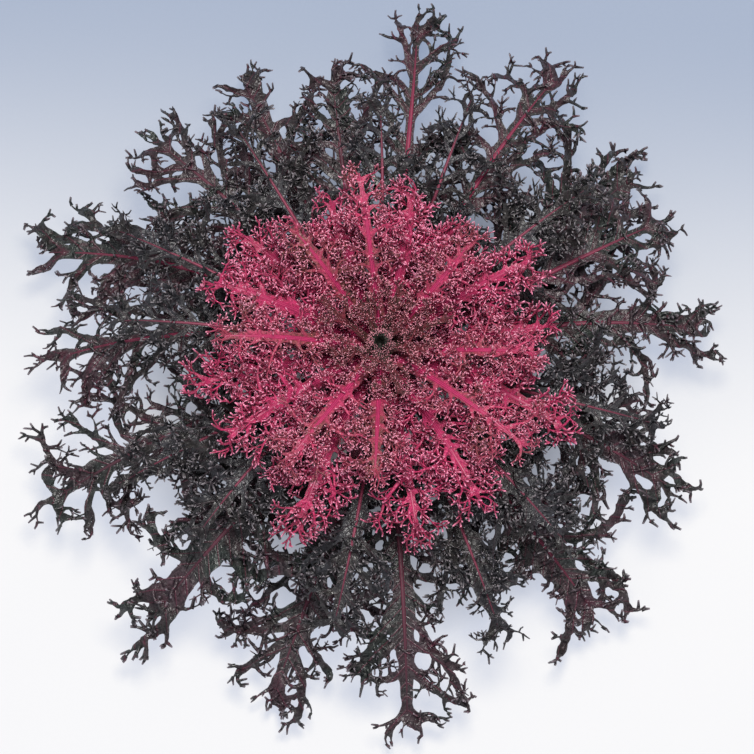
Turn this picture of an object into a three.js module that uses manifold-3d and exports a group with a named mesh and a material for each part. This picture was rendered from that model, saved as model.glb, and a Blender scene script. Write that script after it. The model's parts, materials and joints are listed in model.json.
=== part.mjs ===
// A head of ornamental kale, cut below its leaves and standing on the cut face of its stalk.
// Millimetres, +Z up. The origin is the centre of the cut face.
//
// Every leaf is first laid out flat, as seen from above: u runs outwards from the stalk's axis along the
// midrib, and v runs across it. The flat leaf is then laid over a dome that belongs to its layer. The domes
// of the layers never meet, so the leaves overlap as they grow and still stay clear of each other.

import * as THREE from "three";
import { mergeVertices } from "three/addons/utils/BufferGeometryUtils.js";
import Module from "manifold-3d";

const wasm = await Module();
wasm.setup();

// ---- Driving dimensions of the stalk

const STALK_FOOT_RADIUS = 13;
const STALK_NECK_RADIUS = 7; // just below the heart
const STALK_SIDES = 20;
const CUT_CHAMFER = 0.8;
const SEAT_GAP = 0.3; // between a leaf's base and the stalk

// ---- Driving dimensions of the rosette

const GOLDEN_ANGLE = 137.508; // degrees from one leaf to the next
const FIRST_AZIMUTH = 115; // degrees, of the lowest leaf
const FIRST_HEIGHT = 10; // where the lowest leaf joins the stalk
const LAYER_RISE = 1.15; // from one leaf's joint to the next
const FIRST_SLOPE = 0.42; // rise over run of the lowest leaf where it leaves the stalk
const SLOPE_STEP = 0.018; // added by each later leaf
const FIRST_SAG = 0.0026; // how hard the lowest leaf curves down, per mm
const LEAN = 9; // how far the whole rosette is lifted at LEAN_RADIUS
const LEAN_SWING = 8; // and how much more on its high side, and less on its low side
const LEAN_RADIUS = 180;
const HIGH_SIDE = 125; // degrees
const LONG_SIDE = 266; // degrees: the side on which the inner leaves have grown longest

// The long outer leaves in the order they grew, lowest first: azimuth of the tip in degrees, reach from
// the axis, and sweep, the degrees by which the leaf bends sideways on its way to the tip.
const OUTER_LEAVES = [
  [115.6, 166, 1],
  [252, 180, -4],
  [37, 162, 3],
  [163, 184, 17],
  [310, 172, -2],
  [84, 182, 3],
  [204, 188, 6],
  [5, 165, -9],
  [136, 163, 4],
  [274, 190, -3],
  [58, 177, -5],
  [182, 169, 14],
  [335, 162, -6],
  [99, 149, -5],
  [229, 176, -3],
  [26, 160, 3],
];
const LATER_SWEEP = 12; // degrees between the sweeps furthest left and right of the later leaves

const DARK_LEAF = { color: 0x2b2528, roughness: 0.55, metalness: 0 };
const DUSKY_LEAF = { color: 0x33302e, roughness: 0.6, metalness: 0 };
const MAGENTA_LEAF = { color: 0xb8254f, roughness: 0.5, metalness: 0 };
const HEART_LEAF = { color: 0x7c2440, roughness: 0.6, metalness: 0 };
const STALK_SKIN = { color: 0x9aa37a, roughness: 0.7, metalness: 0 };

// A lobe's outline from its lower to its upper root: a share of the lobe's length, and a share of the
// family's spread, towards the leaf's tip.
const ANTLER = [
  [0.34, -0.3],
  [0.74, -1],
  [0.6, -0.24],
  [1, -0.46],
  [0.8, 0],
  [0.97, 0.5],
  [0.5, 0.26],
  [0.66, 1],
  [0.28, 0.32],
];
const FORK = [
  [0.5, -0.95],
  [0.5, -0.2],
  [1, -0.4],
  [0.7, 0.1],
  [0.9, 0.9],
];

// Leaves of one family are built alike, and the families grow in this order.
//   lobeSpan: from the strap along the midrib to the end of the widest lobe; spread: half of a lobe's width
//   petiole, strap: half widths of the leaf's stem and of its whole blade; blade, rib: thickness
//   wave: how far every other lobe is lifted and the rest lowered; sagStep: added by each later leaf
//   firstReach, lastReach: from the axis to the tip, or reaches: the same for each leaf in turn
//   longer: share by which a leaf on the long side reaches further, and one on the other side less far
const FAMILIES = {
  outer: {
    count: OUTER_LEAVES.length,
    lobePairs: 5,
    lobe: ANTLER,
    lobeSpan: 27,
    spread: 7,
    strap: 9,
    petiole: 4.2,
    blade: 0.9,
    rib: 2.6,
    wave: 0.7,
    sagStep: 0.0001,
    skin: DARK_LEAF,
  },
  middle: {
    count: 12,
    firstReach: 152,
    lastReach: 130,
    longer: 0.06,
    lobePairs: 4,
    lobe: FORK,
    lobeSpan: 28,
    spread: 7,
    strap: 7.5,
    petiole: 3.8,
    blade: 0.9,
    rib: 2.3,
    wave: 0.7,
    sagStep: 0.00013,
    skin: DUSKY_LEAF,
  },
  crown: {
    count: 13,
    reaches: [84, 87, 103, 68, 95, 104, 74, 109, 86, 88, 98, 74, 94],
    lobePairs: 4,
    lobe: FORK,
    lobeSpan: 21,
    spread: 5,
    strap: 4.5,
    petiole: 3.4,
    blade: 0.8,
    rib: 2,
    wave: 0.6,
    sagStep: 0.00019,
    skin: MAGENTA_LEAF,
  },
  inner: {
    count: 8,
    reaches: [80, 70, 76, 66, 80, 96, 80, 84],
    lobePairs: 3,
    lobe: FORK,
    lobeSpan: 17,
    spread: 4.5,
    strap: 4,
    petiole: 3,
    blade: 0.8,
    rib: 1.8,
    wave: 0.6,
    sagStep: 0.00019,
    skin: MAGENTA_LEAF,
  },
  heart: {
    count: 9,
    firstReach: 36,
    lastReach: 15,
    longer: 0.1,
    rootDepth: 3, // these leaves are one with the core that they grow from
    lobePairs: 1,
    lobe: FORK,
    lobeSpan: 9,
    spread: 2.6,
    strap: 2.6,
    petiole: 2.2,
    blade: 0.8,
    rib: 1.2,
    wave: 0.4,
    sagStep: 0.0003,
    skin: HEART_LEAF,
  },
};

// Shares of a leaf's length
const FIRST_LOBE = 0.26;
const LAST_LOBE = 0.93;
const FULL_WIDTH = 0.5; // the strap is widest from here on
const NARROWING = 0.65; // and narrows again from here, to
const TIP_WIDTH = 0.4; // this share of its width
const COVERED = 0.5; // lobes below this are covered by later leaves, and simple

// Across a lobe, as shares of the room between two lobes
const LOBE_SHIFT = 0.24;
const THIN_LOBE = 0.2;
const BROAD_LOBE = 0.26;

const LOW_LOBE_ANGLE = 72; // degrees from the midrib, for a lobe at the leaf's base
const HIGH_LOBE_ANGLE = 30; // and at its tip
const LOBE_ANGLE_PLAY = 12;
const LOBE_ROOM = 0.75; // a lobe ends within this share of the way from its root to the leaf's tip
const SHORT_LOBE = 0.82; // of the family's span
const LONG_LOBE = 1.12;

// Across the midrib
const PETIOLE_THICKNESS = 2; // of the petiole, in thicknesses of the blade
const RIB_ABOVE = 0.2; // share of the midrib that stands out above the blade; the rest is below
const RIB_TIP = 0.15; // share of the midrib's depth that is left at the leaf's tip

// ---- Helpers

const { degToRad } = THREE.MathUtils;
const mix = (a, b, share) => a + (b - a) * share;

function smooth(from, to, x) {
  const share = Math.min(1, Math.max(0, (x - from) / (to - from)));
  return share * share * (3 - 2 * share);
}

// A repeatable draw from 0 to 1, for one trait of one lobe of one leaf.
function draw(leaf, lobe, trait) {
  const wave = Math.sin(leaf * 12.9898 + lobe * 78.233 + trait * 37.719 + 1) * 43758.5453;
  return wave - Math.floor(wave);
}

// ---- The stalk and the domes that the leaves follow

const LEAF_COUNT = Object.values(FAMILIES).reduce((sum, family) => sum + family.count, 0);
const HEART_LAYER = LEAF_COUNT - FAMILIES.heart.count;
const jointHeight = (layer) => FIRST_HEIGHT + layer * LAYER_RISE;

const HEART_SINK = 3; // the heart starts this far below its first leaf's joint
const STALK_HEIGHT = jointHeight(HEART_LAYER) - HEART_SINK;
const stalkRadius = (z) => mix(STALK_FOOT_RADIUS, STALK_NECK_RADIUS, z / STALK_HEIGHT);

const slopeOf = (layer) => FIRST_SLOPE + SLOPE_STEP * layer;

function sagOf(layer) {
  let sag = FIRST_SAG;
  let first = 0;
  for (const { sagStep, count } of Object.values(FAMILIES)) {
    sag += sagStep * Math.min(Math.max(layer - first, 0), count);
    first += count;
  }
  return sag;
}

// The rosette doesn't lie evenly: one side stands higher off the ground than the other.
function lean(azimuth, radius) {
  return (LEAN + LEAN_SWING * Math.cos(azimuth - degToRad(HIGH_SIDE))) * (radius / LEAN_RADIUS) ** 2;
}

// Height of a layer's dome over a point of the ground.
function domeHeight(x, y, layer) {
  const radius = Math.hypot(x, y);
  const run = Math.max(radius - stalkRadius(jointHeight(layer)), 0);
  const rise = slopeOf(layer) * run - sagOf(layer) * run * run;
  return jointHeight(layer) + rise + lean(Math.atan2(y, x), radius);
}

// ---- One leaf laid out flat

// Half the width of the strap of whole blade along the midrib.
function strapHalfWidth(leaf, share) {
  const widened = mix(leaf.petiole, leaf.strap, smooth(FIRST_LOBE / 2, FULL_WIDTH, share));
  return widened * mix(1, TIP_WIDTH, smooth(NARROWING, 1, share));
}

// Length of a lobe, against the longest: half at the leaf's base, and three quarters near its tip.
function lobeStretch(share) {
  return mix(0.5, 1, smooth(FIRST_LOBE, 0.6, share)) * mix(1, 0.75, smooth(0.75, 1, share));
}

// The points of one lobe between its roots, each { u, v, lifted }.
function lobeOutline(leaf, lobe, side, share) {
  const pointing = mix(LOW_LOBE_ANGLE, HIGH_LOBE_ANGLE, share);
  const angle = degToRad(pointing + LOBE_ANGLE_PLAY * (draw(leaf.layer, lobe, 3) - 0.5));
  const span = leaf.lobeSpan * lobeStretch(share) * mix(SHORT_LOBE, LONG_LOBE, draw(leaf.layer, lobe, 4));
  const u = mix(leaf.root, leaf.tip, share);
  const v = strapHalfWidth(leaf, share);
  const room = (LOBE_ROOM * (leaf.tip - u)) / Math.cos(angle);
  const length = Math.min(span / Math.max(Math.sin(angle), 0.75), room);
  const lift = lobe % 4 < 2 ? leaf.wave : -leaf.wave;
  const outline = share < COVERED ? FORK : leaf.lobe;
  return outline.map(([far, across]) => ({
    u: u + Math.cos(angle) * far * length + Math.sin(angle) * across * leaf.spread,
    v: side * (v + Math.sin(angle) * far * length - Math.cos(angle) * across * leaf.spread),
    lifted: lift * far,
  }));
}

// The flat sheet of one leaf: its points, and triangles of point numbers that face up.
function leafSheet(leaf) {
  const points = [];
  const triangles = [];
  const add = (point) => points.push(point) - 1;
  const along = (share) => mix(leaf.root, leaf.tip, share);
  const onMargin = (share, side) => add({ u: along(share), v: side * strapHalfWidth(leaf, share) });

  function fill(loop) {
    const flat = loop.map((i) => new THREE.Vector2(points[i].u, points[i].v));
    for (const [a, b, c] of THREE.ShapeUtils.triangulateShape(flat, [])) {
      const facesUp = flat[b].clone().sub(flat[a]).cross(flat[c].clone().sub(flat[a])) > 0;
      triangles.push(facesUp ? [loop[a], loop[b], loop[c]] : [loop[a], loop[c], loop[b]]);
    }
  }

  const pitch = (LAST_LOBE - FIRST_LOBE) / leaf.lobePairs;
  const petioleShares = [0, FIRST_LOBE / 2];
  const lobeShares = Array.from({ length: leaf.lobePairs }, (_, k) => FIRST_LOBE + pitch * (k + 0.5));
  const spine = [...petioleShares, ...lobeShares, LAST_LOBE].map((share) =>
    add({ u: along(share), v: 0, onRib: true }),
  );

  const lastMargin = {};
  for (const side of [1, -1]) {
    const margin = petioleShares.map((share) => onMargin(share, side));
    lobeShares.forEach((middle, k) => {
      const lobe = k * 2 + (side > 0 ? 0 : 1);
      const share = middle + pitch * LOBE_SHIFT * (draw(leaf.layer, lobe, 1) - 0.5);
      const half = pitch * mix(THIN_LOBE, BROAD_LOBE, draw(leaf.layer, lobe, 2));
      const lower = onMargin(share - half, side);
      const upper = onMargin(share + half, side);
      margin.push(lower, upper);
      fill([lower, ...lobeOutline(leaf, lobe, side, share).map(add), upper]);
    });
    lastMargin[side] = onMargin(LAST_LOBE, side);
    margin.push(lastMargin[side]);
    fill([...spine, ...margin.reverse()]);
  }

  const tip = FORK.map(([far, across]) =>
    add({ u: mix(along(LAST_LOBE), leaf.tip, far), v: across * leaf.spread }),
  );
  fill([lastMargin[-1], ...tip, lastMargin[1], spine.at(-1)]);
  swapEdges(points, triangles);
  return { points, triangles };
}

// Whether a point lies inside the circle through three others that run anticlockwise.
function insideCircle(first, second, third, point) {
  const [a, b, c] = [first, second, third].map(
    ({ u, v }) => new THREE.Vector3(u - point.u, v - point.v, (u - point.u) ** 2 + (v - point.v) ** 2),
  );
  return a.dot(b.cross(c)) > 1e-6;
}

// Swaps the shared edge of neighbouring triangles until they are as stout as they can be, so that none
// spans far over the dome. Edges along the midrib stay.
function swapEdges(points, triangles) {
  let swapped = true;
  while (swapped) {
    swapped = false;
    const seen = new Map();
    const moved = new Set();
    for (let t = 0; t < triangles.length; t++) {
      for (let k = 0; k < 3 && !moved.has(t); k++) {
        const [from, to, near] = [0, 1, 2].map((n) => triangles[t][(k + n) % 3]);
        const other = seen.get(`${to},${from}`);
        seen.set(`${from},${to}`, { triangle: t, far: near });
        const kept = points[from].onRib && points[to].onRib;
        if (!other || moved.has(other.triangle) || kept) continue;
        if (!insideCircle(points[from], points[to], points[near], points[other.far])) continue;
        triangles[t] = [near, from, other.far];
        triangles[other.triangle] = [other.far, to, near];
        moved.add(t).add(other.triangle);
        swapped = true;
      }
    }
  }
}

// ---- From a flat sheet to a solid leaf on its dome

// Where a point of the flat leaf comes to lie, once the leaf is swept sideways and laid on its dome.
function placeOnDome({ u, v, lifted = 0 }, leaf) {
  const share = (u - leaf.root) / (leaf.tip - leaf.root);
  const swing = Math.tan(degToRad(leaf.sweep));
  const turn = degToRad(leaf.azimuth - leaf.sweep);
  const heading = Math.atan(2 * swing * share);
  const sideways = (leaf.tip - leaf.root) * swing * share ** 2 + v * Math.cos(heading);
  const outwards = u - v * Math.sin(heading);
  const x = outwards * Math.cos(turn) - sideways * Math.sin(turn);
  const y = outwards * Math.sin(turn) + sideways * Math.cos(turn);
  return new THREE.Vector3(x, y, domeHeight(x, y, leaf.layer) + lifted);
}

// Depth of the solid on one side of the sheet.
function depthAt({ u, onRib }, leaf, above) {
  const share = (u - leaf.root) / (leaf.tip - leaf.root);
  const halfBlade = (leaf.blade / 2) * mix(PETIOLE_THICKNESS, 1, smooth(0, FIRST_LOBE, share));
  const rib = onRib ? leaf.rib * mix(1, RIB_TIP, smooth(0, 0.8, share)) : 0;
  return above ? halfBlade + RIB_ABOVE * rib : -halfBlade - (1 - RIB_ABOVE) * rib;
}

function leafSolid(leaf) {
  const { points, triangles } = leafSheet(leaf);
  const sheet = new THREE.BufferGeometry();
  sheet.setFromPoints(points.map((point) => placeOnDome(point, leaf)));
  sheet.setIndex(triangles.flat());
  sheet.computeVertexNormals();

  // The base is cut upright, so that it stays clear of the stalk.
  const upright = new THREE.Vector3(0, 0, 1);
  const solid = [true, false].flatMap((above) =>
    points.map((point, i) => {
      const place = new THREE.Vector3().fromBufferAttribute(sheet.getAttribute("position"), i);
      const normal = new THREE.Vector3().fromBufferAttribute(sheet.getAttribute("normal"), i);
      return place.addScaledVector(point.u > leaf.root ? normal : upright, depthAt(point, leaf, above));
    }),
  );

  const below = points.length;
  const faces = triangles.flatMap(([a, b, c]) => [a, b, c, a + below, c + below, b + below]);
  const rim = new Map();
  for (const corners of triangles) {
    for (let k = 0; k < 3; k++) {
      const [from, to] = [corners[k], corners[(k + 1) % 3]];
      if (!rim.delete(`${to},${from}`)) rim.set(`${from},${to}`, [from, to]);
    }
  }
  for (const [from, to] of rim.values()) {
    faces.push(to, from, from + below, to, from + below, to + below);
  }
  return new THREE.BufferGeometry().setFromPoints(solid).setIndex(faces);
}

// Every leaf of a family, with its place in the rosette.
function leavesOf(family, firstLayer) {
  return Array.from({ length: family.count }, (_, i) => {
    const layer = firstLayer + i;
    const grownAzimuth = FIRST_AZIMUTH + GOLDEN_ANGLE * layer;
    const grownSweep = LATER_SWEEP * (draw(layer, 0, 9) - 0.5);
    const stretch = 1 + family.longer * Math.cos(degToRad(grownAzimuth - LONG_SIDE));
    const evenReach = mix(family.firstReach, family.lastReach, i / (family.count - 1)) * stretch;
    const grownReach = family.reaches ? family.reaches[i] : evenReach;
    const [azimuth, reach, sweep] = OUTER_LEAVES[layer] ?? [grownAzimuth, grownReach, grownSweep];
    const underside = jointHeight(layer) - family.blade - family.rib;
    const root = stalkRadius(underside) + (family.rootDepth ? -family.rootDepth : SEAT_GAP);
    return { ...family, layer, azimuth, sweep, root, tip: reach * Math.cos(degToRad(sweep)) };
  });
}

// ---- Solids that are joined

function toManifold(geometry) {
  const merged = mergeVertices(geometry, 1e-4);
  const mesh = new wasm.Mesh({
    numProp: 3,
    vertProperties: merged.getAttribute("position").array,
    triVerts: new Uint32Array(merged.index.array),
  });
  return new wasm.Manifold(mesh);
}

function fromManifold(solid) {
  const { vertProperties, triVerts } = solid.getMesh();
  const geometry = new THREE.BufferGeometry();
  geometry.setAttribute("position", new THREE.BufferAttribute(vertProperties, 3));
  return geometry.setIndex(new THREE.BufferAttribute(triVerts, 1));
}

// A closed solid of revolution from rings of [radius, z], lowest first, flat at both ends.
function turned(rings, sides) {
  const lowest = new THREE.Vector3(0, 0, rings[0][1]);
  const highest = new THREE.Vector3(0, 0, rings.at(-1)[1]);
  const places = [lowest, highest];
  const faces = [];
  rings.forEach(([radius, z], ring) => {
    for (let i = 0; i < sides; i++) {
      const angle = (2 * Math.PI * i) / sides;
      const here = 2 + ring * sides + i;
      const next = 2 + ring * sides + ((i + 1) % sides);
      places.push(new THREE.Vector3(radius * Math.cos(angle), radius * Math.sin(angle), z));
      if (ring === 0) faces.push(0, next, here);
      if (ring === rings.length - 1) faces.push(1, here, next);
      else faces.push(here, next, next + sides, here, next + sides, here + sides);
    }
  });
  return new THREE.BufferGeometry().setFromPoints(places).setIndex(faces);
}

// ---- The pieces

function namedMesh(name, geometry, skin) {
  geometry.computeVertexNormals();
  const mesh = new THREE.Mesh(geometry, new THREE.MeshStandardMaterial(skin));
  mesh.name = name;
  return mesh;
}

function stalk() {
  const rings = [
    [STALK_FOOT_RADIUS - CUT_CHAMFER, 0],
    [stalkRadius(CUT_CHAMFER), CUT_CHAMFER],
    [STALK_NECK_RADIUS, STALK_HEIGHT],
  ];
  return namedMesh("stalk", turned(rings, STALK_SIDES), STALK_SKIN);
}

// The growing point: a bud of small leaves that stand out of a solid core.
function heart(leaves) {
  const seat = STALK_HEIGHT + SEAT_GAP;
  const rings = [
    [STALK_NECK_RADIUS - 0.8, seat],
    [STALK_NECK_RADIUS - 2, seat + 11],
    [STALK_NECK_RADIUS - 3, seat + 13],
    [STALK_NECK_RADIUS - 5, seat + 14],
  ];
  const core = toManifold(turned(rings, STALK_SIDES / 2));
  const bud = leaves.reduce((joined, leaf) => joined.add(toManifold(leafSolid(leaf))), core);
  return namedMesh("heart", fromManifold(bud), HEART_LEAF);
}

const rosette = new THREE.Group();
rosette.add(stalk());
let firstLayer = 0;
for (const [name, family] of Object.entries(FAMILIES)) {
  const leaves = leavesOf(family, firstLayer);
  firstLayer += family.count;
  if (name === "heart") {
    rosette.add(heart(leaves));
    continue;
  }
  leaves.forEach((leaf, i) => {
    const label = `${name}_leaf_${String(i + 1).padStart(2, "0")}`;
    rosette.add(namedMesh(label, leafSolid(leaf), leaf.skin));
  });
}

export default rosette;
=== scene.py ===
# %% [markdown]
# # A head of ornamental kale
#
# Some fifty leaves grow from one short stalk, each about a golden angle further round than the one before.
# The outer leaves are long, nearly black and cut like antlers. The inner ones are magenta and fringed like
# coral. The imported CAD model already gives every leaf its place. This lesson grows the fine form of each leaf
# on the same rules, gives it the finish of the living one, and lights the head on a pale studio floor.

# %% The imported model
import json
import math
from collections import Counter
from types import SimpleNamespace as Kind

import bpy
import numpy as np
from mathutils import Matrix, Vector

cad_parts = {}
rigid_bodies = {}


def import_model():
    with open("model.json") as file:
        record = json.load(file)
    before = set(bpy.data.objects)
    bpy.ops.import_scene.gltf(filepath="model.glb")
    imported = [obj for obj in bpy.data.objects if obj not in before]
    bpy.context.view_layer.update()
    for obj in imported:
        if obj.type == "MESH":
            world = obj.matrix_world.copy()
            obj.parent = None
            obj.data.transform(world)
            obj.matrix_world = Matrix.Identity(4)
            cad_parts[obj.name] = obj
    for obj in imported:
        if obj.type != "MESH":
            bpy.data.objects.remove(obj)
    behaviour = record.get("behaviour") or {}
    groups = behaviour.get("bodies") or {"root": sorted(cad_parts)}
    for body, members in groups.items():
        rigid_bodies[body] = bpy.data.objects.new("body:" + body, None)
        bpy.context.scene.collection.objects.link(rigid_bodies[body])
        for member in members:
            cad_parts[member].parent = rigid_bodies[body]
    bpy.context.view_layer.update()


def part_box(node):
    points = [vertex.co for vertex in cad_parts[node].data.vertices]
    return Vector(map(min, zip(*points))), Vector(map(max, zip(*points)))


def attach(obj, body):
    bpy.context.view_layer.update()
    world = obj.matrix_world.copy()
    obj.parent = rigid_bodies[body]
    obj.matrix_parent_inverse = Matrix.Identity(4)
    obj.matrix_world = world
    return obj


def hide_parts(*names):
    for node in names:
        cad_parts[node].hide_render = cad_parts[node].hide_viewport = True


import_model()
MM = 0.001

# %% [markdown]
# ## The rules that the rosette grows by
#
# A leaf is first laid out flat: u runs outwards along its midrib and v runs across it, in millimetres. Then
# it is laid over a dome that belongs to its layer. The domes lie above one another like bowls turned over,
# so the leaves overlap and stay clear of each other. These are the numbers of the CAD model, so that a leaf
# grown here lies exactly where its plain solid lies.

# %% The stalk and the layers
FOOT_RADIUS, NECK_RADIUS, STALK_HEIGHT = 13.0, 7.0, 63.35
LOWEST_JOINT, JOINT_PITCH = 10, 1.15  # mm from the foot to the first leaf, and from each leaf to the next
LOWEST_SLOPE, SLOPE_GAIN = 0.42, 0.018  # how steeply the first dome leaves the stalk, and what a layer adds
LOWEST_SAG = 0.0026  # per mm: how fast the first dome bends down again
GOLDEN_ANGLE, FIRST_AZIMUTH = 137.508, 115.0
FIRST_LOBE, LAST_LOBE = 0.26, 0.93  # shares of a leaf's length
DARK, ROSY = ("outer", "middle"), ("crown", "inner")

# Leaves in a family, pairs of lobes on a leaf and how far they span, half width of the strap and of the
# leaf's own stem, how far under its dome a leaf joins the stalk, what a layer adds to the sag, and the reach.
FAMILIES = dict(
    outer=Kind(count=16, pairs=5, span=27, strap=9, petiole=4.2, under=3.5, sag=0.0001),
    middle=Kind(
        count=12, pairs=4, span=28, strap=7.5, petiole=3.8, under=3.2, sag=0.00013, reach=(152, 130),
        longer=0.06, breadths=(0.4, 0.8, 0.15, 0.7, 0.7, 0.3, 0.8, 0.6, 0.25, 0.9, 0.1, 0.8),
    ),
    crown=Kind(
        count=13, pairs=4, span=21, strap=4.5, petiole=3.4, under=2.8, sag=0.00019,
        reaches=(84, 87, 103, 68, 95, 104, 74, 109, 86, 88, 98, 74, 94),
    ),
    inner=Kind(
        count=8, pairs=3, span=17, strap=4, petiole=3, under=2.6, sag=0.00019,
        reaches=(80, 70, 76, 66, 80, 96, 80, 84),
    ),
    heart=Kind(
        count=9, pairs=1, span=9, strap=2.6, petiole=2.2, under=2, sag=0.0003, reach=(36, 15), longer=0.1
    ),
)

# Azimuth of the tip in degrees, reach from the axis, the degrees by which the leaf bends sideways, how broad
# its flesh is, and how pink its midrib is.
OUTER_LEAVES = [
    (115.6, 166, 1, 0.6, 0.4), (252, 180, -4, 0.75, 0.4), (37, 162, 3, 1.15, 0.2), (163, 184, 17, 0.8, 1),
    (310, 172, -2, 1.2, 0.8), (84, 182, 3, 0.3, 1), (204, 188, 6, 0.5, 0.2), (5, 165, -9, 0.75, 0.6),
    (136, 163, 4, 0.45, 0.4), (274, 190, -3, 0.65, 0.3), (58, 177, -5, 0.4, 1), (182, 169, 14, 0.4, 1),
    (335, 162, -6, 0.8, 0.5), (99, 149, -5, 0.3, 0.3), (229, 176, -3, 1.25, 0.3), (26, 160, 3, 0.45, 0.8),
]

FULL_TURN, THIRD_TURN = 6.283, 2.094  # radians


def mix(a, b, share):
    return a + (b - a) * share


def smooth(start, end, x):
    share = np.clip((x - start) / (end - start), 0, 1)
    return share * share * (3 - 2 * share)


def draw(leaf, lobe, trait):
    """The CAD model's repeatable draw from 0 to 1, for one trait of one lobe of one leaf."""
    wave = math.sin(leaf * 12.9898 + lobe * 78.233 + trait * 37.719 + 1) * 43758.5453
    return wave - math.floor(wave)


def joint_height(layer):
    return LOWEST_JOINT + JOINT_PITCH * layer


def stalk_radius(z):
    return mix(FOOT_RADIUS, NECK_RADIUS, z / STALK_HEIGHT)


# %% The dome of each layer
def dome(x, y, layer):
    """Height in millimetres of a layer's dome over a point of the floor."""
    sag, first = LOWEST_SAG, 0
    for family in FAMILIES.values():
        sag += family.sag * min(max(layer - first, 0), family.count)
        first += family.count
    radius = np.hypot(x, y)
    run = np.maximum(radius - stalk_radius(joint_height(layer)), 0)
    # The head isn't level: 180 mm out it rises by 1 to 17 mm, most of all at an azimuth of 125 degrees.
    lean = (9 + 8 * np.cos(np.arctan2(y, x) - math.radians(125))) * (radius / 180) ** 2
    return joint_height(layer) + (LOWEST_SLOPE + SLOPE_GAIN * layer) * run - sag * run * run + lean


def grown_leaves():
    """Every leaf, from the lowest layer up, with its family's numbers and its own."""
    leaves, layer = [], 0
    for name, family in FAMILIES.items():
        for i in range(family.count):
            azimuth, sweep = FIRST_AZIMUTH + GOLDEN_ANGLE * layer, 12 * (draw(layer, 0, 9) - 0.5)
            breadth, pink = 0.4 + 0.3 * draw(layer, 2, 21), 0.7 if name == "middle" else 1
            if name == "outer":
                azimuth, reach, sweep, breadth, pink = OUTER_LEAVES[i]
            elif name in ROSY:
                reach = family.reaches[i]
            else:
                stretch = 1 + family.longer * math.cos(math.radians(azimuth - 266))
                reach = mix(*family.reach, i / (family.count - 1)) * stretch
            if name == "middle":
                breadth = family.breadths[i]
            depth = -3 if name == "heart" else 0.3  # mm that a leaf's base stays clear of the stalk
            leaves.append(Kind(
                **vars(family) | dict(family=name), layer=layer, azimuth=azimuth, sweep=sweep,
                node="heart" if name == "heart" else f"{name}_leaf_{i + 1:02d}",
                root=stalk_radius(joint_height(layer) - family.under) + depth,
                tip=reach * math.cos(math.radians(sweep)), phase=draw(layer, 1, 20) * 6.3,
                breadth=breadth, pink=pink,
            ))
            layer += 1
    return leaves


leaves = grown_leaves()
print(len(leaves), "leaves in", len(FAMILIES), "families")


# %% From the flat leaf to its place on the dome
def laid(leaf, u, v, raised=0.0):
    """Places of a flat leaf once it is swept sideways and laid on its dome, in millimetres."""
    share = (u - leaf.root) / (leaf.tip - leaf.root)
    swing = math.tan(math.radians(leaf.sweep))
    turn = math.radians(leaf.azimuth - leaf.sweep)
    heading = np.arctan(2 * swing * share)
    sideways = (leaf.tip - leaf.root) * swing * share**2 + v * np.cos(heading)
    outwards = u - v * np.sin(heading)
    x = outwards * math.cos(turn) - sideways * math.sin(turn)
    y = outwards * math.sin(turn) + sideways * math.cos(turn)
    return np.stack([x, y, dome(x, y, leaf.layer) + raised], -1)


def strap_half_width(leaf, share):
    widened = mix(leaf.petiole, leaf.strap, smooth(FIRST_LOBE / 2, 0.5, share))
    return widened * mix(1, 0.4, smooth(0.65, 1, share))


for leaf in (leaves[0], leaves[30]):
    low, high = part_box(leaf.node)
    end = laid(leaf, leaf.tip, 0.0)
    print(leaf.node, "tip", end.round(0), "CAD box", [round(c / MM) for c in (*low, *high)])

# %% [markdown]
# ## How a leaf branches
#
# A feathery kale leaf is a strap of whole blade along the midrib, with arms on both sides. Each arm forks
# into prongs and each prong into teeth, as an antler does. Where two arms of a dark leaf touch, they grow
# together and leave a round window. The leaf could be drawn by hand or cut out of a picture, but fifty leaves
# would then look alike or take days. Here a leaf grows: one small function adds a twig, turns it a little at
# every step, and calls itself for the twigs that branch off. No two leaves come out alike, because each has
# its own seed, breadth and reach.

# %% The habit of each family
# One row for each order of branching, in mm: step between bends, half width at the base and at the end, how
# far the twig bends in radians, how far it falls or rises, how strongly a vein shows in it, and for what
# branches off it the spacing, the angle in degrees and the length.
HABIT = "step base end bend rise vein spacing angle child".split()
HABITS = dict(
    outer=[
        (3.0, 2.1, 0.85, 1.4, (-4, 7), 0.4, 5.8, (40, 80), (5.5, 12.5)),
        (2.6, 1.35, 0.65, 1.6, (-3, 5), 0, 4.8, (36, 75), (2.6, 6.6)),
        (2.2, 1.0, 0.58, 1.0, (-1, 2), 0),
    ],
    middle=[
        (2.6, 1.15, 0.65, 1.6, (-5, 8), 0.2, 4.3, (40, 80), (4.4, 10)),
        (2.2, 0.95, 0.5, 1.8, (-3, 6), 0, 3.8, (40, 85), (2.3, 5.6)),
        (2.0, 0.7, 0.46, 1.1, (-1, 3), 0),
    ],
    crown=[
        (2.4, 1.1, 0.62, 1.7, (-4, 5), 0.5, 3.5, (36, 72), (5, 11)),
        (2.0, 0.7, 0.52, 2.0, (-2, 5), 0.25, 2.9, (40, 80), (2.4, 5.0)),
        (1.7, 0.54, 0.5, 1.5, (-1, 3), 0.1),
    ],
    inner=[
        (2.1, 1.0, 0.55, 1.5, (-3, 4), 0.5, 2.8, (40, 76), (3.6, 7.5)),
        (1.8, 0.6, 0.46, 1.8, (-1, 4), 0.25, 2.4, (40, 85), (2, 4)),
        (1.5, 0.46, 0.44, 1.4, (-1, 2.5), 0.1),
    ],
    heart=[
        (1.6, 0.7, 0.4, 1.0, (0, 4), 0.5, 1.8, (40, 76), (1.8, 3.8)),
        (1.4, 0.42, 0.38, 1.2, (0, 3), 0.3, 1.6, (36, 80), (1.2, 2.2)),
        (1.1, 0.38, 0.36, 0.9, (0, 1.5), 0.1),
    ],
)
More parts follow.
